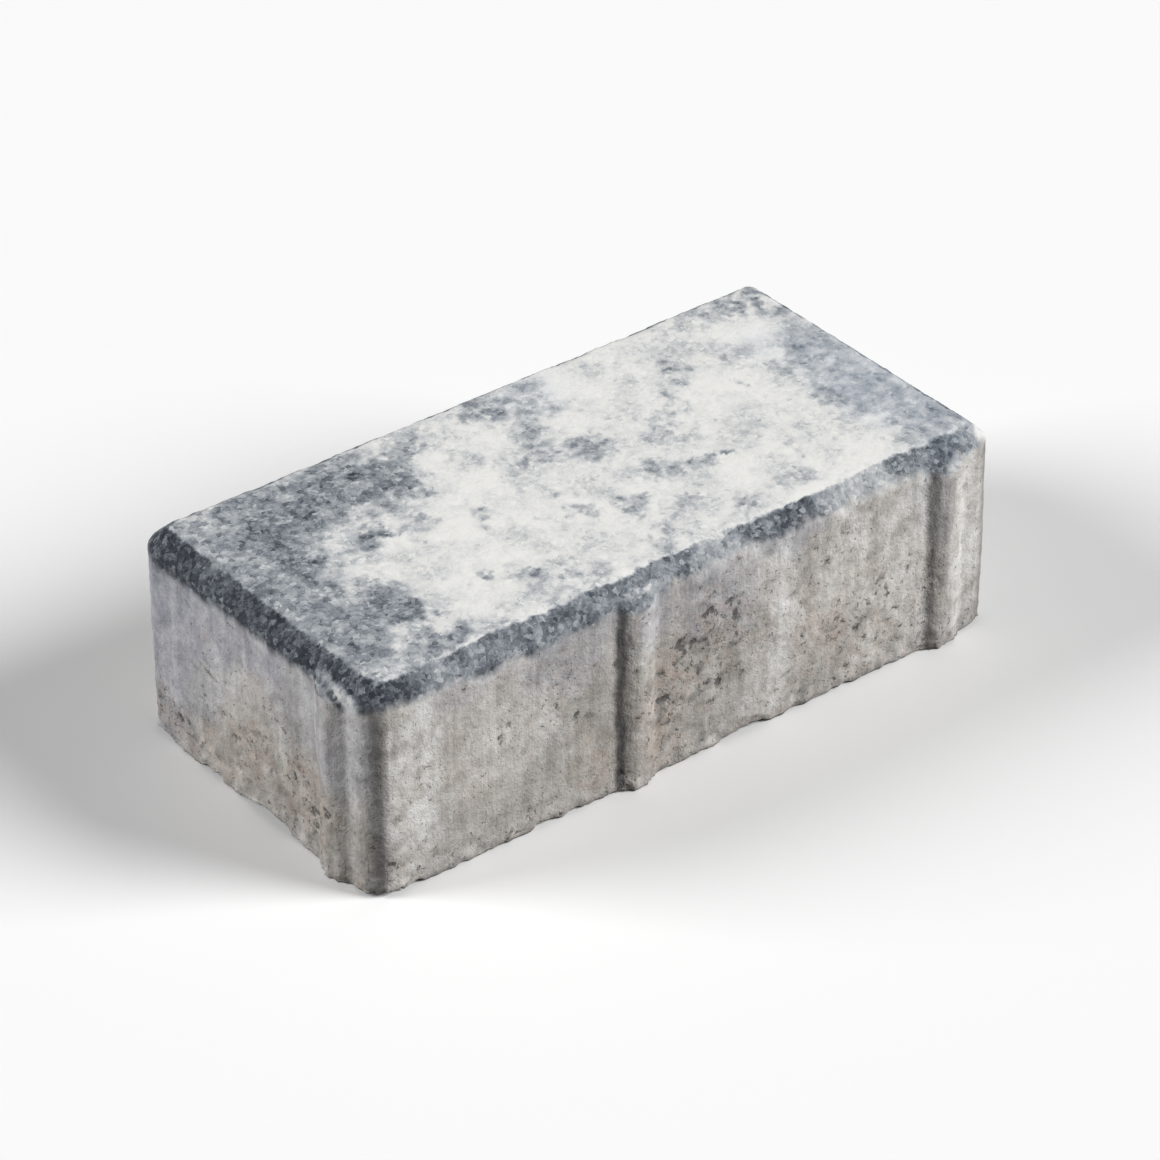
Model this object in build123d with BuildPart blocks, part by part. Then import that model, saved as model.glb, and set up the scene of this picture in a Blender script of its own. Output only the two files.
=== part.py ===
from build123d import *
import os

# Rectangular concrete paving stone with a chamfered top edge and spacer ribs, pressed as one piece.
# The origin is the middle of the underside. X runs along the stone and Z is up.

# Body, without its ribs
length = 197
width = 97
height = 60

# Chamfer round the top face, and the small rounding that it leaves on that face's corners
chamfer_width = 5
chamfer_angle = 45
top_corner_radius = 1.5

# Upright ribs that hold the joint open between neighbouring stones
rib_width = 12
rib_proud = 2.5
rib_root_radius = 1
rib_corner_gap = 4.5  # flat stretch between a rounded corner and the rib next to it
rib_middle_offset = 18.5  # from the middle of a long side to the rib beside it

# The upright edges are rounded so that the chamfer runs round them at one width
corner_radius = top_corner_radius + chamfer_width

# A rib's section is an arc of this radius, with its centre inside the body
rib_radius = ((rib_width / 2) ** 2 + rib_proud**2) / (2 * rib_proud)
rib_depth = rib_radius - rib_proud
rib_end_inset = corner_radius + rib_corner_gap + rib_width / 2

# Ribs of the front side and the left end. Half a turn gives those of the back and the right end,
# so that any two stones laid side by side meet rib to flat face.
rib_centres = [
    (length / 2 - rib_end_inset, rib_depth - width / 2),
    (-rib_middle_offset, rib_depth - width / 2),
    (rib_depth - length / 2, rib_end_inset - width / 2),
]

# Corners of the outline that lie within these limits are rib roots, and not the ends of a rounded corner
root_limit_x = length / 2 - corner_radius - rib_corner_gap / 2
root_limit_y = width / 2 - corner_radius - rib_corner_gap / 2

with BuildPart() as paving_stone:
    # Plan of the stone with its six ribs
    with BuildSketch() as outline:
        RectangleRounded(length, width, corner_radius)
        with PolarLocations(0, 2):
            with Locations(*rib_centres):
                Circle(rib_radius)
        roots = outline.vertices().filter_by(lambda v: abs(v.X) < root_limit_x or abs(v.Y) < root_limit_y)
        fillet(roots, radius=rib_root_radius)
    extrude(amount=height)
    # A sloping hood widens downwards from the top face. What lies outside it is trimmed away,
    # so the chamfer's slope runs on without a break over the heads of the ribs.
    with BuildSketch(Plane.XY.offset(height)):
        RectangleRounded(length - 2 * chamfer_width, width - 2 * chamfer_width, top_corner_radius)
    extrude(amount=-height, taper=-chamfer_angle, mode=Mode.INTERSECT)

paving_stone.part.label = "paving_stone"

os.makedirs("parts", exist_ok=True)
export_step(paving_stone.part, "parts/paving_stone.step")
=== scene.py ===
import math
import bmesh
import bpy
import numpy as np
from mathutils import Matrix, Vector, noise


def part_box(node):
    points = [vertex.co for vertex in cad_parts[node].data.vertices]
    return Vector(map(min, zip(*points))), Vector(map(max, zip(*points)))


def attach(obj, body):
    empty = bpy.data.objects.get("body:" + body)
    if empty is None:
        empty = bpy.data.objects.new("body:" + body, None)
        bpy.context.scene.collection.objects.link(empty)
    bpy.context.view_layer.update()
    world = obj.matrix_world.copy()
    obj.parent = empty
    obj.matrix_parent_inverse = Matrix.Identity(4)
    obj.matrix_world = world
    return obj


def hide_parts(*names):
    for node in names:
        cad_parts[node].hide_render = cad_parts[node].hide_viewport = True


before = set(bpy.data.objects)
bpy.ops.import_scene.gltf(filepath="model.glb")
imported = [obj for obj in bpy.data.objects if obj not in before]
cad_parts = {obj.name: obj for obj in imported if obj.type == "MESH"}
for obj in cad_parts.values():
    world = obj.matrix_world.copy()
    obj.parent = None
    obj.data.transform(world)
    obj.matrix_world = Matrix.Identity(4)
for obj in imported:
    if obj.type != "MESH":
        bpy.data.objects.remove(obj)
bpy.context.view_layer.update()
stoneNode = "paving_stone"
boxLow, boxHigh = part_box(stoneNode)
print("frame loaded, stone box", [round(side, 4) for side in boxHigh - boxLow])

mm = 0.001

# sizes of the pressed shape that the finish follows, in metres
stoneShape = {
    "ribProud": 0.0025,
    "chamfer": 0.005,
    "cornerRadius": 0.0065,
    "netQuad": 0.0009,  # side of the small quads of the skin
    "weld": 1e-6,  # points nearer than this become one
}
bodyHalf = np.array([boxHigh.x, boxHigh.y]) - stoneShape["ribProud"]
topZ = boxHigh.z
arrisZ = topZ - stoneShape["chamfer"]  # lower edge of the chamfer


# small helpers for fields over the vertices

def smooth(low, high, value):
    share = np.clip((value - low) / (high - low), 0.0, 1.0)
    return share * share * (3.0 - 2.0 * share)


fractal = {"seedStep": (3.71, -5.13, 7.37), "falloff": 1.0, "lacunarity": 2.0}


def fractalField(points, size, seed, octaves=3):
    shift = Vector([seed * step for step in fractal["seedStep"]])  # each seed has its own part of the noise
    falloff, lacunarity = fractal["falloff"], fractal["lacunarity"]
    return np.array([noise.fractal(Vector(p) + shift, falloff, lacunarity, octaves) for p in points / size])


def insideDepth(points):
    # how far a point lies inside the rounded rectangle of the body, seen from above
    inner = bodyHalf - stoneShape["cornerRadius"]
    beyond = np.abs(points[:, :2]) - inner
    outside = np.linalg.norm(np.maximum(beyond, 0.0), axis=1)
    return stoneShape["cornerRadius"] - outside - np.minimum(beyond.max(axis=1), 0.0)


# the stone's skin: an even net of small quads over the pressed shape

def evenSkin():
    net = bmesh.new()
    net.from_mesh(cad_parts[stoneNode].data)
    bmesh.ops.remove_doubles(net, verts=net.verts, dist=stoneShape["weld"])
    mesh = bpy.data.meshes.new("pavingStone")
    net.to_mesh(mesh)
    net.free()
    stone = bpy.data.objects.new("pavingStone", mesh)
    bpy.context.scene.collection.objects.link(stone)
    remesh = stone.modifiers.new("evenNet", "REMESH")
    remesh.mode = "VOXEL"
    remesh.voxel_size = stoneShape["netQuad"]
    remesh.use_smooth_shade = True
    depsgraph = bpy.context.evaluated_depsgraph_get()
    even = bpy.data.meshes.new_from_object(stone.evaluated_get(depsgraph))
    stone.modifiers.clear()
    stone.data = even
    print("skin net:", len(even.vertices), "vertices,", len(even.polygons), "faces")
    return stone


stone = evenSkin()
mesh = stone.data
count = len(mesh.vertices)


def vertexArray(name):
    values = np.empty(count * 3)
    mesh.vertices.foreach_get(name, values)
    return values.reshape(-1, 3)


rest = vertexArray("co")
normals = vertexArray("normal")
height = rest[:, 2]
lean = normals[:, 2]  # 1 faces up, 0 is upright, -1 faces down
inDepth = insideDepth(rest)

# which part of the stone a vertex belongs to, told by its lean and by distances in metres
skinParts = {
    "sideLean": (0.35, 0.75), "sideAbove": 0.001,
    "topLean": 0.9, "topBelow": 0.001,
    "bedLean": -0.5,
    "chamferBelow": 0.0005, "chamferPast": 0.0008,
    "headOut": (0.0003, -0.0006), "headLean": (0.30, 0.55),
}
upright = 1.0 - smooth(*skinParts["sideLean"], np.abs(lean))
onSide = upright * (height < arrisZ + skinParts["sideAbove"])
onTop = (lean > skinParts["topLean"]) & (height > topZ - skinParts["topBelow"])
onBed = lean < skinParts["bedLean"]
nearArris = inDepth < stoneShape["chamfer"] + skinParts["chamferPast"]
onChamfer = (height > arrisZ - skinParts["chamferBelow"]) & nearArris
ribHead = smooth(*skinParts["headOut"], inDepth) * smooth(*skinParts["headLean"], lean)

# places on each side, from its left end seen from outside and up from the bed, and places on the top face
onEnd = np.abs(normals[:, 0]) > np.abs(normals[:, 1])
sidePlace = np.where(
    onEnd,
    np.sign(normals[:, 0]) * rest[:, 1] + bodyHalf[1],
    -np.sign(normals[:, 1]) * rest[:, 0] + bodyHalf[0],
)
sidePlaces = np.stack([sidePlace, height], axis=1)
topPlaces = np.stack([rest[:, 0] + bodyHalf[0], bodyHalf[1] - rest[:, 1]], axis=1)


def netSpread(values, rounds):
    # evens a field out: each round takes half of a vertex's own value and half of its neighbours'
    edges = np.empty(len(mesh.edges) * 2, dtype=np.int64)
    mesh.edges.foreach_get("vertices", edges)
    start, end = edges.reshape(-1, 2).T
    degree = np.bincount(edges, minlength=count)
    for _ in range(rounds):
        total = np.bincount(start, values[end], count) + np.bincount(end, values[start], count)
        values = 0.5 * values + 0.5 * total / degree
    return values


# two fields that make the edges of the patches ragged
patchEdge = {
    "wide": {"size": 0.013, "seeds": (20, 21), "octaves": 4},
    "fine": {"size": 0.0040, "seeds": (30, 31), "octaves": 3},
}


def warpField(size, seeds, octaves):
    return np.stack([fractalField(rest, size, seed, octaves) for seed in seeds], axis=1)


warpWide = warpField(**patchEdge["wide"])
warpFine = warpField(**patchEdge["fine"])


def patchField(places, patches, core=0.45, reach=1.3, wide=0.0035, fine=0.0020):
    # strongest patch at each place; a patch is place along, place across, two radii and strength
    warped = places + wide * warpWide + fine * warpFine
    field = np.zeros(len(places))
    for x, y, rx, ry, strength in patches:
        away = np.hypot((warped[:, 0] - x * mm) / (rx * mm), (warped[:, 1] - y * mm) / (ry * mm))
        field = np.maximum(field, strength * smooth(reach, core, away))
    return field


def sideField(name):
    patches = sidePatches[name]
    edge = patches.get("edge", {})
    onEnds = patchField(sidePlaces, patches["ends"], **edge)
    onLongSides = patchField(sidePlaces, patches["longSides"], **edge)
    return np.where(onEnd, onEnds, onLongSides)


# patches on the sides, placed in millimetres: along from the left end, up, two radii, strength
sidePatches = {
    "pits": {  # single large pores
        "edge": {"core": 0.5, "reach": 1.2, "wide": 0.002, "fine": 0.0016},
        "longSides": [
            (123, 50, 1.6, 1.4, 1), (145, 48, 1.4, 1.6, 1), (142, 41, 1.2, 1.2, 1), (95, 36, 1.7, 1.9, 1),
            (98, 35, 1.5, 1.5, 1), (102, 42, 1.4, 1.2, 1), (110, 42, 1.6, 1.5, 1), (106, 19, 1.8, 1.5, 1),
            (114, 17, 2.0, 1.6, 1), (112, 29, 1.4, 1.4, 1), (100, 24, 1.5, 1.3, 1), (7, 23, 1.5, 1.6, 1),
            (6, 9, 1.8, 1.7, 1), (168, 27, 1.3, 1.5, 1), (61, 29, 1.2, 1.1, 1), (41, 35, 1.2, 1.2, 1),
            (38, 33, 1.2, 1.3, 1), (151, 18, 1.4, 1.4, 1), (88, 22, 1.5, 1.4, 1), (84, 26, 1.3, 1.3, 1),
            (133, 31, 1.2, 1.3, 1), (129, 35, 1.2, 1.2, 1), (67, 41, 1.2, 1.3, 1), (65, 26, 1.2, 1.4, 1)],
        "ends": [
            (80, 18, 2.2, 2.4, 1), (72, 13, 1.8, 1.4, 1), (64, 20, 1.6, 1.2, 1), (30, 30, 1.3, 1.2, 1),
            (14, 8, 2.2, 1.4, 1)]},
    "open": {  # open and gravelly, not closed by slurry
        "edge": {"core": 0.3, "reach": 1.4},
        "longSides": [
            (104, 32, 18, 20, 0.9), (90, 20, 12, 13, 0.9), (152, 20, 24, 14, 0.8), (140, 44, 12, 8, 0.5),
            (58, 38, 10, 12, 0.5)],
        "ends": [(70, 17, 15, 11, 0.9), (44, 18, 14, 8, 0.8), (12, 10, 15, 8, 0.8), (60, 34, 10, 8, 0.4)]},
    "hang": {  # how far the dark face mix hangs below the chamfer, with millimetres as the strength
        "longSides": [
            (50, 52, 28, 40, 2.4), (80, 52, 10, 40, 2.6), (8, 52, 9, 40, 1.2), (178, 52, 8, 40, 1.0)],
        "ends": [(20, 52, 26, 40, 3.6), (56, 52, 28, 40, 2.9), (88, 52, 10, 40, 2.4)]},
    "headStreak": {  # dark streaks at the heads of the ribs
        "edge": {"wide": 0.0004, "fine": 0.0006},
        "longSides": [
            (76.3, 54.2, 1.5, 1.0, 0.8), (79.3, 54.4, 1.9, 0.8, 0.8), (82.3, 54.8, 1.9, 0.8, 0.75),
            (85.0, 55.1, 1.5, 0.7, 0.6), (176.4, 54.4, 1.6, 1.2, 0.8), (178.6, 54.7, 1.5, 0.8, 0.6)],
        "ends": [
            (73, 55.3, 2.0, 0.8, 0.7), (76, 55.0, 2.0, 0.9, 0.9), (79, 54.6, 1.9, 0.9, 1.0),
            (81.7, 54.1, 1.7, 0.9, 1.0), (84.1, 53.4, 1.5, 1.0, 1.0), (85.4, 52.4, 1.1, 1.1, 1.0),
            (86.5, 51.4, 0.8, 1.1, 0.9)]},
    "sand": {
        "edge": {"reach": 1.5},
        "longSides": [
            (88, 20, 9, 15, 0.9), (152, 24, 24, 18, 0.8), (34, 30, 14, 18, 0.5), (66, 14, 8, 10, 0.6),
            (168, 36, 6, 9, 0.7)],
        "ends": [(46, 17, 15, 10, 0.9), (68, 17, 14, 10, 1.0), (12, 8, 12, 6, 0.7), (33, 10, 11, 7, 0.8)]},
    "pale": {
        "edge": {"reach": 1.5},
        "longSides": [
            (125, 25, 4, 30, 1.0), (12, 34, 9, 24, 1.0), (188, 34, 7, 28, 1.0), (44, 30, 14, 16, 0.35),
            (82, 40, 3, 14, 0.9), (164, 36, 9, 22, 0.8), (145, 40, 8, 12, 0.5), (153, 48, 10, 12, 1.0),
            (157, 22, 9, 16, 0.8), (171, 46, 5, 12, 0.6), (171, 14, 5, 10, 0.7), (8, 50, 8, 7, 0.6),
            (112, 52, 12, 4, 0.7), (125, 46, 9, 8, 0.6)],
        "ends": [
            (37, 36, 17, 8, 0.5), (70, 47, 14, 7, 0.6), (90, 34, 4, 20, 0.6), (30, 34, 6, 9, 0.5),
            (58, 34, 4, 24, 0.5)]},
    "slurry": {
        "edge": {"core": 0.6, "reach": 1.4},
        "longSides": [
            (60, 48, 15, 10, 0.55), (30, 53, 14, 5, 0.4), (106, 44, 13, 12, 0.7), (128, 53, 12, 4, 0.5),
            (175, 48, 5, 14, 0.3), (85, 47, 7, 8, 0.6)],
        "ends": [
            (18, 44, 24, 14, 1.0), (44, 49, 22, 8, 0.8), (66, 43, 12, 14, 0.55), (8, 22, 13, 26, 0.9),
            (23, 27, 12, 12, 0.5), (86, 42, 13, 16, 0.5)]},
    "dullAndShade": {
        "edge": {"reach": 1.5},
        "longSides": [
            (103, 29, 16, 17, 1.0), (88, 20, 15, 20, 1.0), (101, 14, 10, 12, 0.9), (142, 14, 8, 8, 0.5),
            (66, 24, 8, 18, 0.9), (64, 47, 11, 10, 0.5), (113, 40, 9, 9, 0.6), (55, 13, 9, 9, 0.5),
            # the long-side patch at 84.5 mm is painted shade on the lit right flank of the middle rib
            (71, 9, 5, 11, 0.9), (40, 12, 16, 9, 0.6), (84.5, 26, 2.2, 44, 0.45)],
        "ends": [
            (78, 17, 7, 11, 0.9), (9, 7, 13, 8, 1.0), (74, 20, 5, 5, 1.0), (82, 15, 4, 8, 1.0),
            (65, 34, 4, 24, 0.5), (46, 13, 16, 8, 0.8), (62, 13, 14, 8, 1.0), (76, 14, 11, 10, 1.0),
            (88, 13, 10, 8, 0.6)]},
    "shadedRibFeet": {  # painted shade along the left foot of a rib, on the flank that the light misses
        "edge": {"wide": 0.0004, "fine": 0.0008},
        "longSides": [(74.6, 28, 1.1, 90, 1.0), (175.0, 28, 1.0, 90, 0.5)],
        "ends": []},
}

# relief of the pressed surface: each layer's depth in metres and the noise that shapes it
relief = {
    "topGrain": {"depth": 0.00018, "base": 0.4, "noise": {"size": 0.0024, "seed": 1}},
    "arrisGrain": {"depth": 0.00020, "base": 0.5, "noise": {"size": 0.0026, "seed": 2}},
    "drag": {"depth": 0.00010, "base": 0.5, "noise": {"size": 0.0026, "seed": 4, "octaves": 2}},
    "sand": {"depth": 0.00016, "base": 0.5, "noise": {"size": 0.0024, "seed": 17, "octaves": 2}},
    "wave": {"depth": 0.00030, "base": 0.5, "noise": {"size": 0.030, "seed": 5, "octaves": 2}},
    "gravel": {"depth": 0.00030, "base": 0.6, "noise": {"size": 0.0028, "seed": 9}},
    "dragStretch": 0.06,
    "chip": {  # small chips along both edges of the chamfer
        "depth": 0.0005, "base": 0.06, "span": (0.10, 0.65), "width": 0.0016, "bound": 0.0015,
        "noise": {"size": 0.009, "seed": 3}},
    "open": {  # clouds of open surface beside the placed patches, and an open foot
        "cloud": 0.45, "cloudSpan": (0.0, 0.6), "foot": 0.5, "footSpan": (0.014, 0.002),
        "noise": {"size": 0.014, "seed": 18}},
    "pits": {
        "depth": 0.0004, "loose": 0.8, "span": (0.62, 0.95), "grouped": 0.22, "inOpen": 0.16,
        "groups": {"size": 0.016, "seed": 6, "octaves": 2},
        "pores": {"size": 0.0026, "seed": 16, "octaves": 4}},
}


def openField():
    look = relief["open"]
    share = sideField("open")
    cloud = smooth(*look["cloudSpan"], fractalField(rest, **look["noise"]))
    share += look["cloud"] * cloud + look["foot"] * smooth(*look["footSpan"], height)
    return onSide * np.clip(share, 0.0, 1.0)


def pitField(openShare):
    # a few placed pores and loose groups of small ones
    look = relief["pits"]
    group = fractalField(rest, **look["groups"])
    pore = fractalField(rest, **look["pores"])
    loose = smooth(*look["span"], pore + look["grouped"] * group + look["inOpen"] * openShare)
    return onSide * np.maximum(sideField("pits"), look["loose"] * loose)


def layerDepth(name, points):
    layer = relief[name]
    return layer["depth"] * (layer["base"] + fractalField(points, **layer["noise"]))


def reliefDepth(openShare, pits):
    # inward depth of the surface's own relief at each vertex
    depth = (onTop | onBed) * layerDepth("topGrain", rest)
    depth += onChamfer * layerDepth("arrisGrain", rest)
    chip = relief["chip"]
    lowEdge = np.exp(-((height - arrisZ) / chip["width"]) ** 2)
    lowEdge *= inDepth < chip["bound"]
    highEdge = np.exp(-((inDepth - stoneShape["chamfer"]) / chip["width"]) ** 2)
    highEdge *= height > topZ - chip["bound"]
    broken = chip["base"] + smooth(*chip["span"], fractalField(rest, **chip["noise"]))
    depth += np.maximum(lowEdge, highEdge) * chip["depth"] * broken
    stretched = rest * np.array([1.0, 1.0, relief["dragStretch"]])
    depth += onSide * layerDepth("drag", stretched)
    depth += onSide * layerDepth("sand", rest)
    depth += onSide * layerDepth("wave", rest)
    depth += openShare * layerDepth("gravel", rest)
    return depth + pits * relief["pits"]["depth"]


# the broken lower rim, in metres; a bite is x, y, reach and depth in millimetres
bedRim = {
    "lift": 0.0020, "liftSpan": (0.05, 0.80), "noise": {"size": 0.010, "seed": 7, "octaves": 4},
    "cornerLift": 0.0022, "cornerSpan": (0.012, 0.002), "cornerBase": 0.8, "cornerNoise": 0.5,
    "bites": [(-98.5, -4.5, 9.0, 2.6), (16.5, -48.5, 4.0, 2.0)],
    "sideReach": 0.014, "bedReach": 0.008,
    "crumble": 0.0005, "crumbleBase": 0.3, "crumbleSpan": (0.0, 0.9),
    "crumbleNoise": {"size": 0.0034, "seed": 8},
    "evenRounds": 6,  # how often the directions are evened out over the rim
}


def brokenBed(points):
    # the lower rim is broken off unevenly: it lifts, and the bed slopes down to the floor behind it
    flat = points * np.array([1.0, 1.0, 0.0])
    bite = fractalField(flat, **bedRim["noise"])
    lift = bedRim["lift"] * smooth(*bedRim["liftSpan"], bite)
    toCorner = np.linalg.norm(np.maximum(bodyHalf - np.abs(points[:, :2]), 0.0), axis=1)
    cornerShape = bedRim["cornerBase"] + bedRim["cornerNoise"] * bite
    lift += bedRim["cornerLift"] * smooth(*bedRim["cornerSpan"], toCorner) * cornerShape
    for x, y, reach, depth in bedRim["bites"]:
        away = np.hypot(points[:, 0] - x * mm, points[:, 1] - y * mm) / (reach * mm)
        lift += depth * mm * np.exp(-away ** 2)
    nearRim = np.clip(1.0 - points[:, 2] / bedRim["sideReach"], 0.0, 1.0)
    nearRim *= smooth(bedRim["bedReach"], 0.0, inDepth)
    moved = points.copy()
    moved[:, 2] += lift * nearRim
    crumble = bedRim["crumbleBase"] + fractalField(points, **bedRim["crumbleNoise"])
    crumble *= bedRim["crumble"] * smooth(*bedRim["crumbleSpan"], nearRim)
    outward = np.stack([netSpread(normals[:, axis], bedRim["evenRounds"]) for axis in range(3)], axis=1)
    return moved - outward * crumble[:, None]


openShare = openField()
pits = pitField(openShare)
shaped = brokenBed(rest) - normals * reliefDepth(openShare, pits)[:, None]
shaped[:, 2] = np.maximum(shaped[:, 2], 0.0)
mesh.vertices.foreach_set("co", shaped.ravel())
mesh.update()
print("relief made")


# patches on the pressed face and its chamfer, placed in millimetres from the left end and the back
facePatches = {
    "slateZone": [
        (33, 19, 35, 17, 1.0), (8, 14, 16, 14, 1.0), (62, 26, 6, 9, 1.0), (10, 45, 18, 22, 0.94),
        (27, 68, 10, 14, 1.0), (9, 70, 15, 18, 0.90), (16, 88, 22, 6, 0.66), (186, 62, 13, 34, 0.36)],
    "slateFlecks": [
        (44, 41, 4, 5, 0.60), (54, 16, 3, 3, 0.24), (20, 26, 8, 6, 0.12), (60, 28, 5, 6, 0.10),
        (39, 42, 8, 6, 0.38), (53, 42, 7, 6, 0.26), (25, 41, 8, 6, 0.24), (54, 29, 8, 6, 0.12),
        (171, 55, 6, 8, 0.16), (28, 70, 7, 9, 0.10), (104, 14, 10, 9, 0.40), (102, 28, 8, 9, 0.30),
        (114, 20, 5, 5, 0.31), (108, 42, 8, 9, 0.42), (96, 38, 6, 4, 0.34), (130, 49, 9, 7, 0.22),
        (140, 36, 3, 7, 0.34), (148, 26, 7, 6, 0.23), (158, 41, 2, 2, 0.44), (134, 43, 8, 3, 0.22),
        (167, 32, 9, 6, 0.20), (180, 45, 12, 9, 0.24), (182, 68, 10, 20, 0.12), (172, 60, 4, 7, 0.32),
        (182, 87, 14, 6, 0.18), (188, 60, 7, 34, 0.14), (187, 12, 9, 10, 0.48), (170, 11, 7, 5, 0.20),
        (97, 13, 6, 7, 0.37), (114, 11, 7, 6, 0.20), (128, 12, 8, 6, 0.10), (142, 12, 8, 6, 0.10),
        (117, 61, 5, 4, 0.30), (127, 63, 5, 3, 0.38), (134, 64, 2, 2, 0.56), (101, 68, 6, 5, 0.34),
        (89, 64, 3, 3, 0.28), (69, 54, 5, 4, 0.28), (53, 73, 3, 4, 0.42), (63, 78, 3, 5, 0.44),
        (111, 77, 8, 6, 0.24), (157, 68, 3, 3, 0.30), (147, 74, 6, 3, 0.24), (93, 56, 3, 3, 0.26),
        (83, 27, 7, 6, 0.27), (81, 13, 2, 2, 0.42), (72, 13, 11, 7, 0.30), (84, 12, 8, 7, 0.14),
        (67, 88, 14, 5, 0.28), (99, 85, 9, 7, 0.34), (156, 84, 8, 6, 0.10), (122, 86, 5, 4, 0.26),
        (141, 85, 6, 5, 0.28), (35, 89, 14, 4, 0.24)],
    "pale": [
        (40, 32, 10, 5, 0.55), (26, 43, 7, 6, 0.12), (36, 52, 8, 6, 0.34), (25, 57, 8, 7, 0.42),
        (14, 86, 10, 4, 0.24), (10, 12, 8, 7, 0.22), (20, 53, 5, 4, 0.16), (45, 58, 12, 12, 0.5)],
    "paleEdges": [
        (150, 95, 12, 6, 0.36), (158, 95, 7.5, 5, 0.42), (107, 95, 8, 6, 0.28), (86, 95, 8, 5, 0.14),
        (189, 95, 6, 5, 0.12), (196, 91, 5, 9, 0.45), (27, 95, 8, 5, 0.12), (52, 95, 5, 5, 0.12),
        (44, 95, 5, 5, 0.06), (171, 95, 4, 5, 0.12)],
    "darkEdges": [
        (5, 95, 10, 6, 0.20), (129, 95, 10, 6, 0.12), (180, 95, 7, 5, 0.14), (2, 68, 4, 30, 0.06),
        (2, 44, 4, 6, 0.14)],
    "headDark": [(75.3, 98.0, 2.4, 2.2, 0.12), (176.0, 97.6, 3.0, 1.8, 0.18)],
    "headPale": [
        (182.5, 98.9, 5.5, 2.8, 0.36), (0.3, 85.5, 1.5, 7.0, 0.56), (0.4, 77.5, 1.1, 4.5, 0.42),
        (82, 95.3, 7, 0.9, 0.22), (191.5, 95, 5, 4, 0.20)],
    "bluish": [(185, 62, 15, 36, 1.0), (176, 30, 10, 10, 0.5), (112, 14, 12, 12, 0.5)],
}

# tones run from 0, cream, to 1, nearly black
faceLook = {
    "base": 0.15, "zone": 0.49, "fleck": 0.30, "fleckCrumbs": 0.85, "crumbSpan": (-0.45, 0.35),
    "cloud": 0.22, "zoneCloud": -0.15, "mottle": 0.09, "zoneMottle": 0.13,
    "zoneEdge": {"core": 0.7, "reach": 1.2, "fine": 0.0034}, "paleFine": 0.0034, "fleckFine": 0.0030,
    "cloudNoise": {"size": 0.011, "seed": 11, "octaves": 4},
    "mottleNoise": {"size": 0.0042, "seed": 12},
    "crumbNoise": {"size": 0.0030, "seed": 10, "octaves": 2},
}


def faceTone():
    look = faceLook
    zone = patchField(topPlaces, facePatches["slateZone"], **look["zoneEdge"])
    zone *= 1.0 - patchField(topPlaces, facePatches["pale"], fine=look["paleFine"])
    cloud = fractalField(rest, **look["cloudNoise"])
    mottle = fractalField(rest, **look["mottleNoise"])
    crumbs = smooth(*look["crumbSpan"], fractalField(rest, **look["crumbNoise"]))
    flecks = patchField(topPlaces, facePatches["slateFlecks"], fine=look["fleckFine"])
    tone = look["base"] + look["zone"] * zone + (look["fleck"] + look["fleckCrumbs"] * crumbs) * flecks
    tone += (look["cloud"] + look["zoneCloud"] * zone) * cloud
    return tone + (look["mottle"] + look["zoneMottle"] * zone) * mottle


edgeLook = {
    "base": 0.76, "leftEnd": 0.16, "cloud": 0.14, "mottle": 0.16,
    "headOnEnd": 0.52, "headOnLong": 0.70, "headMottle": 0.10, "headEdge": {"wide": 0.0008, "fine": 0.0008},
    "streak": 0.96,
    "cloudNoise": {"size": 0.014, "seed": 13, "octaves": 4},
    "mottleNoise": {"size": 0.006, "seed": 24},
    "headNoise": {"size": 0.0042, "seed": 12},
}


def edgeTone(headStreak):
    # the chamfer is darker, most of all on the left end, and so are the heads of the ribs
    look = edgeLook
    leftEnd = rest[:, 0] < -bodyHalf[0] + stoneShape["chamfer"]
    tone = look["base"] + look["cloud"] * fractalField(rest, **look["cloudNoise"])
    tone += patchField(topPlaces, facePatches["darkEdges"])
    tone -= patchField(topPlaces, facePatches["paleEdges"])
    tone += look["leftEnd"] * leftEnd + look["mottle"] * fractalField(rest, **look["mottleNoise"])
    headTone = np.where(onEnd, look["headOnEnd"], look["headOnLong"])
    headTone = headTone + look["headMottle"] * fractalField(rest, **look["headNoise"])
    tone = tone * (1.0 - ribHead) + headTone * ribHead
    tone += patchField(topPlaces, facePatches["headDark"], **look["headEdge"])
    tone -= patchField(topPlaces, facePatches["headPale"], **look["headEdge"])
    return np.maximum(tone, look["streak"] * headStreak)


skirt = {
    "raise": 0.0004, "stretch": 0.25, "fade": (-0.0020, 0.0014), "wide": 0.0016, "fine": 0.0013,
    "wideNoise": {"size": 0.010, "seed": 14}, "fineNoise": {"size": 0.003, "seed": 15},
}


def skirtShare():
    # the dark face mix hangs a few ragged millimetres below the chamfer
    drawn = rest * np.array([1.0, 1.0, skirt["stretch"]])
    hang = mm * sideField("hang") - skirt["raise"]
    hang += skirt["wide"] * fractalField(drawn, **skirt["wideNoise"])
    hang += skirt["fine"] * fractalField(drawn, **skirt["fineNoise"])
    low, high = skirt["fade"]
    return smooth(arrisZ - hang + low, arrisZ - hang + high, height)


sideLook = {
    "headMix": 0.9,  # how much of the face mix the rib heads and their streaks show
    # the first two strengths are for the painted shade at the rib feet and for dark slurry with painted
    # shade on the corners
    "ribFootShade": 0.95, "cornerSlurryAndShade": 0.60, "cornerSpan": (0.0018, 0.0042), "cornerShift": (0.0007, -0.0011),
    "farEndSlurry": 0.6,
    "fringe": 0.8, "fringeSpan": (0.006, 0.0010), "fringeBreak": (-0.5, 0.4),
    "fringeNoise": {"size": 0.010, "seed": 23},
}


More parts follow.
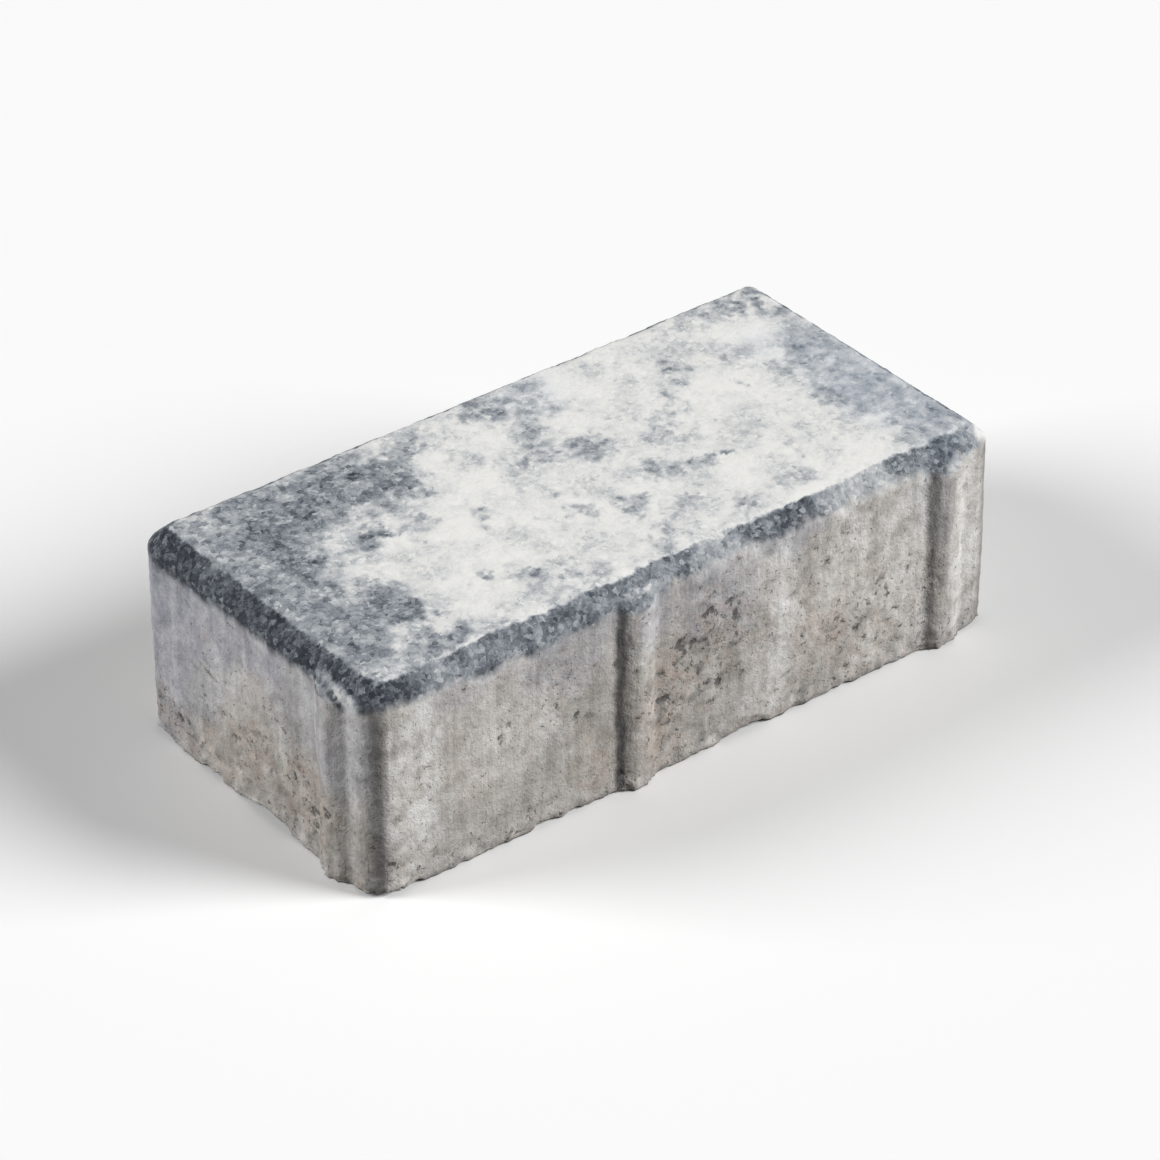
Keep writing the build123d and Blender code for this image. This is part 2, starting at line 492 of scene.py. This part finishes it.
def paintedShadeAndSlurry():
    # painted shade along the feet of the ribs, and dark slurry with painted shade down the rounded corners
    inner = bodyHalf - stoneShape["cornerRadius"]
    past = np.abs(rest[:, :2]) - inner + np.array(sideLook["cornerShift"])
    corner = smooth(*sideLook["cornerSpan"], past.min(axis=1))
    shadeAndSlurry = sideLook["ribFootShade"] * sideField("shadedRibFeet") + sideLook["cornerSlurryAndShade"] * corner
    return onSide * np.clip(shadeAndSlurry, 0.0, 1.0)


def dullAndShadeShare():
    # dull patches, painted shade on the lit flank of the middle rib, and a broken dull fringe along the
    # lower rim
    fringe = smooth(*sideLook["fringeSpan"], shaped[:, 2])
    fringe *= smooth(*sideLook["fringeBreak"], fractalField(rest, **sideLook["fringeNoise"]))
    return np.maximum(sideField("dullAndShade"), sideLook["fringe"] * fringe)


def keepField(name, values):
    field = mesh.attributes.new(name, "FLOAT", "POINT")
    field.data.foreach_set("value", np.asarray(values, dtype=np.float32))


headStreak = sideField("headStreak")
headMix = sideLook["headMix"] * np.maximum(ribHead, headStreak)
farEnd = onEnd & (rest[:, 0] > 0.0)
keepField("faceTone", np.clip(faceTone(), 0.0, 1.0))
keepField("edgeTone", np.clip(edgeTone(headStreak), 0.0, 1.0))
keepField("bluish", patchField(topPlaces, facePatches["bluish"]))
keepField("faceMix", np.maximum(np.maximum(skirtShare(), onTop), headMix))
keepField("pits", pits)
keepField("openShare", openShare)
# painted shade at the rib feet, and dark slurry with painted shade on the corners
keepField("paintedShadeAndSlurry", paintedShadeAndSlurry())
keepField("sand", sideField("sand"))
keepField("pale", sideField("pale"))
keepField("slurry", np.where(farEnd, sideLook["farEndSlurry"], 1.0) * sideField("slurry"))
keepField("dullAndShade", dullAndShadeShare())
print("colour fields made")


# concrete finish

concreteFinish = {
    # face mix, from pale to dark
    "cream": (0.835, 0.827, 0.803, 1.0), "offWhite": (0.73, 0.73, 0.72, 1.0),
    "paleGrey": (0.525, 0.540, 0.552, 1.0), "blueGrey": (0.325, 0.350, 0.378, 1.0),
    "slate": (0.168, 0.188, 0.212, 1.0), "darkSlate": (0.052, 0.060, 0.073, 1.0),
    "nightSlate": (0.022, 0.026, 0.034, 1.0), "blueCast": (0.95, 0.975, 1.02, 1.0),
    # sides
    "sideGrey": (0.60, 0.575, 0.545, 1.0), "sidePale": (0.80, 0.787, 0.757, 1.0),
    "sideDark": (0.46, 0.445, 0.425, 1.0), "sideSand": (0.60, 0.525, 0.465, 1.0),
    # the dull cast also darkens the middle rib's lit flank as painted shade
    "slurry": (0.456, 0.464, 0.526, 1.0), "dullAndShadeCast": (0.57, 0.55, 0.525, 1.0),
    # the dark colour of the painted shade at the rib feet and of the slurry and painted shade on the
    # corners
    "pore": (0.11, 0.105, 0.10, 1.0), "shadeAndSlurryColour": (0.08, 0.078, 0.080, 1.0),
    "gravelDark": (0.30, 0.295, 0.29, 1.0), "gravelRose": (0.58, 0.49, 0.45, 1.0),
    "gravelPale": (0.76, 0.73, 0.69, 1.0),
    "roughness": 0.92, "specular": 0.3, "bumpStrength": 0.5, "bumpHeight": 0.0005,
}

# grains of the face mix: sizes in metres, and how far a grain's tone strays from its patch
faceGrain = {
    "size": 0.0013, "fineSize": 0.0006, "bend": 0.0016, "bendScale": 900.0, "bendDetail": 2.0,
    "stray": 0.30, "fineStray": 0.20, "rare": 0.10,
    "rareDark": [(0.92, 0.0), (0.97, 1.0)], "rarePale": [(0.02, 1.0), (0.07, 0.0)],
    "blueCalm": -0.35, "strayBase": 0.30, "strayInDark": 0.9, "toneScale": 0.8,
    "stops": [
        (0.032, "cream"), (0.16, "offWhite"), (0.288, "paleGrey"), (0.44, "blueGrey"), (0.60, "slate"),
        (0.80, "darkSlate"), (1.0, "nightSlate")],
    "creasePast": 0.002, "creaseHalf": 0.0004,
    "wander": 0.004, "wanderNoise": {"size": 0.0045, "detail": 4.0},
    "bumpGrain": 0.5, "bumpNoise": {"size": 0.0010, "detail": 4.0, "roughness": 0.6},
}

# clouds, streaks, gravel and pores of the sides; a ramp's stops are place and grey
sideGrain = {
    "drawn": 0.07,  # the height counts this little, so that streaks run upright
    "streak": {"size": 0.0022, "detail": 4.0}, "broadStreak": {"size": 0.008, "detail": 4.0},
    "patch": {"size": 0.012, "detail": 6.0, "roughness": 0.62},
    "crumb": {"size": 0.0045, "detail": 5.0, "roughness": 0.65},
    "speckle": {"size": 0.0016, "detail": 4.0, "roughness": 0.7},
    "blotch": {"size": 0.0065, "detail": 3.0, "roughness": 0.6},
    "patchRamp": [(0.36, 0.0), (0.62, 1.0)], "raggedRamp": [(0.36, 0.25), (0.60, 1.0)],
    "smearRamp": [(0.86, 1.0), (1.0, 0.85)],
    "streakShare": 0.45, "broadShare": 0.50, "streakRamp": [(0.30, 0.22), (0.70, 0.78)],
    "crumbShare": 0.50, "crumbRamp": [(0.34, 0.25), (0.66, 0.75)],
    "speckleShare": 0.45, "speckleRamp": [(0.32, 0.25), (0.68, 0.75)],
    "blotchShare": 0.50, "blotchInOpen": 0.50, "blotchRamp": [(0.34, 0.2), (0.66, 0.8)],
    "gravelSize": 0.0024, "gravelShare": 0.08, "gravelInOpen": 0.40,
    "gravelStops": [
        (0.0, "gravelDark"), (0.3, "sideGrey"), (0.55, "sideSand"), (0.75, "gravelRose"),
        (1.0, "gravelPale")],
    "pore": {"size": 0.0022, "detail": 5.0, "roughness": 0.62}, "poreInOpen": 0.10, "poreInPit": 0.17,
    "poreRamp": [(0.66, 0.0), (0.77, 0.9)],
    "finePore": {"size": 0.0011}, "finePoreInOpen": 0.04, "finePoreRamp": [(0.64, 0.0), (0.73, 0.6)],
    # the second strength mixes in the painted shade at the rib feet and the slurry and painted shade on the
    # corners
    "pitShade": 0.35, "paintedShadeAndSlurry": 0.85,
    "bumpStreak": -0.8, "bumpSpeckle": -1.6, "bumpPore": 1.5,
    "bumpFine": -0.6, "bumpNoise": {"size": 0.0006},
}


def addNode(tree, kind, inputs=None, **settings):
    made = tree.nodes.new(kind)
    for key, value in settings.items():
        setattr(made, key, value)
    for socket, value in (inputs or {}).items():
        if isinstance(value, bpy.types.NodeSocket):
            tree.links.new(value, made.inputs[socket])
        else:
            made.inputs[socket].default_value = value
    return made


def concreteMaterial():
    look, face, side = concreteFinish, faceGrain, sideGrain
    material = bpy.data.materials.new("pressedConcrete")
    material.use_nodes = True
    tree = material.node_tree
    tree.nodes.clear()
    place = addNode(tree, "ShaderNodeTexCoord").outputs["Object"]

    def field(name):
        return addNode(tree, "ShaderNodeAttribute", attribute_name=name).outputs["Fac"]

    def calc(operation, *values):
        return addNode(tree, "ShaderNodeMath", dict(enumerate(values)), operation=operation).outputs[0]

    def mix(share, a, b, blend="MIX"):
        inputs = {"Factor": share, 6: a, 7: b}  # 6 and 7 are the two colours
        return addNode(tree, "ShaderNodeMix", inputs, data_type="RGBA", blend_type=blend).outputs[2]

    def ramp(value, stops):
        made = addNode(tree, "ShaderNodeValToRGB", {"Fac": value})
        bar = made.color_ramp
        while len(bar.elements) < len(stops):
            bar.elements.new(0.5)
        for element, (position, colour) in zip(bar.elements, stops):
            element.position = position
            element.color = colour
        return made.outputs["Color"]

    def greyRamp(value, stops):
        return ramp(value, [(position, (grey, grey, grey, 1.0)) for position, grey in stops])

    def colourRamp(value, stops):
        return ramp(value, [(position, look[name]) for position, name in stops])

    def noiseAt(size, detail=3.0, roughness=0.55, vector=place):
        inputs = {"Vector": vector, "Scale": 1.0 / size, "Detail": detail, "Roughness": roughness}
        return addNode(tree, "ShaderNodeTexNoise", inputs).outputs["Fac"]

    # grains are cells with slightly bent edges, and each has its own chance from 0 to 1
    sway = {"Vector": place, "Scale": face["bendScale"], "Detail": face["bendDetail"]}
    sway = addNode(tree, "ShaderNodeTexNoise", sway).outputs["Color"]
    sway = addNode(tree, "ShaderNodeVectorMath", {0: sway, 1: (face["bend"],) * 3}, operation="MULTIPLY")
    bent = addNode(tree, "ShaderNodeVectorMath", {0: place, 1: sway.outputs[0]}, operation="ADD").outputs[0]

    def cells(size):
        return addNode(tree, "ShaderNodeTexVoronoi", {"Vector": bent, "Scale": 1.0 / size}).outputs

    def chance(cell):
        return addNode(tree, "ShaderNodeSeparateColor", {"Color": cell["Color"]}).outputs["Red"]

    # tone of the face mix; the crease where the chamfer meets the top wanders a little
    apart = addNode(tree, "ShaderNodeSeparateXYZ", {0: place}).outputs
    fromMiddle = [calc("ABSOLUTE", apart[axis]) for axis in range(2)]
    fromSides = [calc("SUBTRACT", half, way) for half, way in zip(bodyHalf, fromMiddle)]
    wander = noiseAt(**face["wanderNoise"])
    fromEdge = calc("MULTIPLY_ADD", wander, face["wander"], calc("MINIMUM", *fromSides))
    crease = stoneShape["chamfer"] + face["creasePast"]
    edgeShare = addNode(tree, "ShaderNodeMapRange", {
        "Value": fromEdge,
        "From Min": crease + face["creaseHalf"],
        "From Max": crease - face["creaseHalf"]}).outputs["Result"]
    tone = addNode(tree, "ShaderNodeMix", {
        "Factor": edgeShare, "A": field("faceTone"), "B": field("edgeTone")}).outputs["Result"]

    # every grain of the face mix takes a shade near that tone
    grain = cells(face["size"])
    grainChance = chance(grain)
    fineChance = chance(cells(face["fineSize"]))
    stray = calc("MULTIPLY_ADD", grainChance, face["stray"], -face["stray"] / 2.0)
    fineStray = calc("MULTIPLY_ADD", fineChance, face["fineStray"], -face["fineStray"] / 2.0)
    rareDark = calc("MULTIPLY", greyRamp(grainChance, face["rareDark"]), face["rare"])
    rarePale = calc("MULTIPLY", greyRamp(grainChance, face["rarePale"]), face["rare"])
    stray = calc("ADD", calc("ADD", stray, fineStray), calc("SUBTRACT", rareDark, rarePale))
    stray = calc("MULTIPLY", stray, calc("MULTIPLY_ADD", field("bluish"), face["blueCalm"], 1.0))
    reach = calc("MULTIPLY_ADD", tone, face["strayInDark"], face["strayBase"])
    shade = calc("MULTIPLY_ADD", stray, reach, tone)
    faceColour = colourRamp(calc("MULTIPLY", shade, face["toneScale"]), face["stops"])
    faceColour = mix(field("bluish"), faceColour, look["blueCast"], "MULTIPLY")

    # sides: cloudy grey with sandy, pale, slurry and dull patches, one of them painted shade on a rib flank
    drawnScale = (1.0, 1.0, side["drawn"])
    drawn = addNode(tree, "ShaderNodeMapping", {"Vector": place, "Scale": drawnScale}).outputs["Vector"]
    streak = noiseAt(**side["streak"], vector=drawn)
    crumb = noiseAt(**side["crumb"])
    speckle = noiseAt(**side["speckle"])
    ragged = greyRamp(crumb, side["raggedRamp"])
    smear = greyRamp(calc("ADD", streak, crumb), side["smearRamp"])
    patch = greyRamp(noiseAt(**side["patch"]), side["patchRamp"])
    sideColour = mix(patch, look["sideDark"], look["sideGrey"])
    sideColour = mix(calc("MULTIPLY", field("sand"), ragged), sideColour, look["sideSand"])
    sideColour = mix(calc("MULTIPLY", field("pale"), ragged), sideColour, look["sidePale"])
    sideColour = mix(calc("MULTIPLY", field("slurry"), smear), sideColour, look["slurry"])
    sideColour = mix(calc("MULTIPLY", field("dullAndShade"), ragged), sideColour, look["dullAndShadeCast"], "MULTIPLY")

    # drawn streaks, crumbs, speckles and blotches lighten and darken it
    openness = field("openShare")
    blotchShare = calc("MULTIPLY_ADD", openness, side["blotchInOpen"], side["blotchShare"])
    clouds = [
        (side["streakShare"], streak, "streakRamp"),
        (side["broadShare"], noiseAt(**side["broadStreak"], vector=drawn), "streakRamp"),
        (side["crumbShare"], crumb, "crumbRamp"),
        (side["speckleShare"], speckle, "speckleRamp"),
        (blotchShare, noiseAt(**side["blotch"]), "blotchRamp"),
    ]
    for share, cloud, stops in clouds:
        sideColour = mix(share, sideColour, greyRamp(cloud, side[stops]), "SOFT_LIGHT")

    # open gravel, pores, the painted shade at the feet of the ribs, and dark slurry with painted shade on
    # the corners
    gravelColour = colourRamp(chance(cells(side["gravelSize"])), side["gravelStops"])
    gravelShare = calc("MULTIPLY_ADD", openness, side["gravelInOpen"], side["gravelShare"])
    sideColour = mix(gravelShare, sideColour, gravelColour)
    poreTone = calc("MULTIPLY_ADD", openness, side["poreInOpen"], noiseAt(**side["pore"], vector=bent))
    poreTone = calc("MULTIPLY_ADD", field("pits"), side["poreInPit"], poreTone)
    coarsePore = greyRamp(poreTone, side["poreRamp"])
    finePore = calc("MULTIPLY_ADD", openness, side["finePoreInOpen"], noiseAt(**side["finePore"]))
    finePore = greyRamp(finePore, side["finePoreRamp"])
    sideColour = mix(finePore, sideColour, look["pore"])
    sideColour = mix(coarsePore, sideColour, look["pore"])
    sideColour = mix(calc("MULTIPLY", field("pits"), side["pitShade"]), sideColour, look["pore"])
    sideColour = mix(calc("MULTIPLY", field("paintedShadeAndSlurry"), side["paintedShadeAndSlurry"]), sideColour, look["shadeAndSlurryColour"])
    colour = mix(field("faceMix"), sideColour, faceColour)

    # bump: grains on the face, fine drag lines and pores on the sides
    fineFace = noiseAt(**face["bumpNoise"], vector=bent)
    grainRelief = calc("MULTIPLY_ADD", grain["Distance"], face["bumpGrain"], fineFace)
    sideRelief = calc("MULTIPLY", speckle, side["bumpSpeckle"])
    sideRelief = calc("MULTIPLY_ADD", streak, side["bumpStreak"], sideRelief)
    sideRelief = calc("MULTIPLY_ADD", noiseAt(**side["bumpNoise"]), side["bumpFine"], sideRelief)
    poreRelief = calc("MULTIPLY_ADD", coarsePore, side["bumpPore"], finePore)
    reliefMix = addNode(tree, "ShaderNodeMix", {
        "Factor": field("faceMix"), "A": calc("ADD", sideRelief, poreRelief), "B": grainRelief})
    bump = addNode(tree, "ShaderNodeBump", {
        "Height": reliefMix.outputs["Result"],
        "Strength": look["bumpStrength"],
        "Distance": look["bumpHeight"]}, invert=True)
    surface = addNode(tree, "ShaderNodeBsdfPrincipled", {
        "Base Color": colour, "Roughness": look["roughness"], "Specular IOR Level": look["specular"],
        "Normal": bump.outputs["Normal"]})
    addNode(tree, "ShaderNodeOutputMaterial", {"Surface": surface.outputs["BSDF"]})
    return material


mesh.materials.clear()
mesh.materials.append(concreteMaterial())
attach(stone, "root")
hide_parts(stoneNode)
print("concrete finish made")


# floor, light and camera

studio = {
    "floorSize": 6.0, "floorColour": (0.97, 0.97, 0.97, 1.0), "floorBounce": (0.08, 0.08, 0.08, 1.0),
    "leftSun": {"turn": 146.0, "rise": 27.5, "strength": 2.48, "spread": 30.0},
    "rightSun": {"turn": 313.0, "rise": 30.6, "strength": 3.43, "spread": 30.0},
    "skyColour": (1.0, 1.0, 1.0, 1.0), "skyFill": 0.06, "skySeen": 1.0,
}


def seenShare(tree):
    # 1 for what the camera sees, straight or in a reflection
    path = addNode(tree, "ShaderNodeLightPath").outputs
    seen = path["Is Camera Ray"]
    for ray in ("Is Glossy Ray", "Is Transmission Ray"):
        seen = addNode(tree, "ShaderNodeMath", {0: seen, 1: path[ray]}, operation="MAXIMUM").outputs[0]
    return seen


def makeFloor():
    half = studio["floorSize"] / 2.0
    corners = [(-half, -half, 0), (half, -half, 0), (half, half, 0), (-half, half, 0)]
    floorMesh = bpy.data.meshes.new("studioFloor")
    floorMesh.from_pydata(corners, [], [(0, 1, 2, 3)])
    floor = bpy.data.objects.new("studioFloor", floorMesh)
    bpy.context.scene.collection.objects.link(floor)
    material = bpy.data.materials.new("paleFloor")
    material.use_nodes = True
    tree = material.node_tree
    tree.nodes.clear()
    shown = addNode(tree, "ShaderNodeBsdfDiffuse", {"Color": studio["floorColour"]})
    bounced = addNode(tree, "ShaderNodeBsdfDiffuse", {"Color": studio["floorBounce"]})
    both = addNode(tree, "ShaderNodeMixShader", {
        0: seenShare(tree), 1: bounced.outputs[0], 2: shown.outputs[0]})
    addNode(tree, "ShaderNodeOutputMaterial", {"Surface": both.outputs[0]})
    floorMesh.materials.append(material)


def makeSun(name, sun):
    lamp = bpy.data.lights.new(name, "SUN")
    lamp.energy = sun["strength"]
    lamp.angle = math.radians(sun["spread"])
    holder = bpy.data.objects.new(name, lamp)
    turn, rise = math.radians(sun["turn"]), math.radians(sun["rise"])
    toLamp = Vector((math.cos(rise) * math.cos(turn), math.cos(rise) * math.sin(turn), math.sin(rise)))
    holder.rotation_euler = toLamp.to_track_quat("Z", "Y").to_euler()
    holder.location = toLamp
    bpy.context.scene.collection.objects.link(holder)


def makeSky():
    world = bpy.data.worlds.new("softSky")
    bpy.context.scene.world = world
    world.use_nodes = True
    tree = world.node_tree
    tree.nodes.clear()
    strength = addNode(tree, "ShaderNodeMapRange", {
        "Value": seenShare(tree), "To Min": studio["skyFill"], "To Max": studio["skySeen"]})
    sky = addNode(tree, "ShaderNodeBackground", {
        "Color": studio["skyColour"], "Strength": strength.outputs["Result"]})
    addNode(tree, "ShaderNodeOutputWorld", {"Surface": sky.outputs[0]})


cameraView = {
    "turn": 38.3, "rise": 33.7, "distance": 1.32, "aim": (0.002, 0.0, 0.027),
    "stoneSpan": 0.2165,  # width of the stone as the camera sees it
    "fill": 0.74,  # share of the frame's width that it takes
    "sensor": 36.0,
}


def makeCamera():
    turn, rise = math.radians(cameraView["turn"]), math.radians(cameraView["rise"])
    toCamera = Vector((-math.sin(turn) * math.cos(rise), -math.cos(turn) * math.cos(rise), math.sin(rise)))
    lens = bpy.data.cameras.new("studioCamera")
    lens.sensor_width = cameraView["sensor"]
    lens.lens = lens.sensor_width * cameraView["distance"] * cameraView["fill"] / cameraView["stoneSpan"]
    camera = bpy.data.objects.new("studioCamera", lens)
    camera.location = Vector(cameraView["aim"]) + toCamera * cameraView["distance"]
    camera.rotation_euler = toCamera.to_track_quat("Z", "Y").to_euler()
    bpy.context.scene.collection.objects.link(camera)
    bpy.context.scene.camera = camera


makeFloor()
makeSun("leftLight", studio["leftSun"])
makeSun("rightLight", studio["rightSun"])
makeSky()
makeCamera()
bpy.context.scene.view_settings.view_transform = "Standard"
print("studio made")
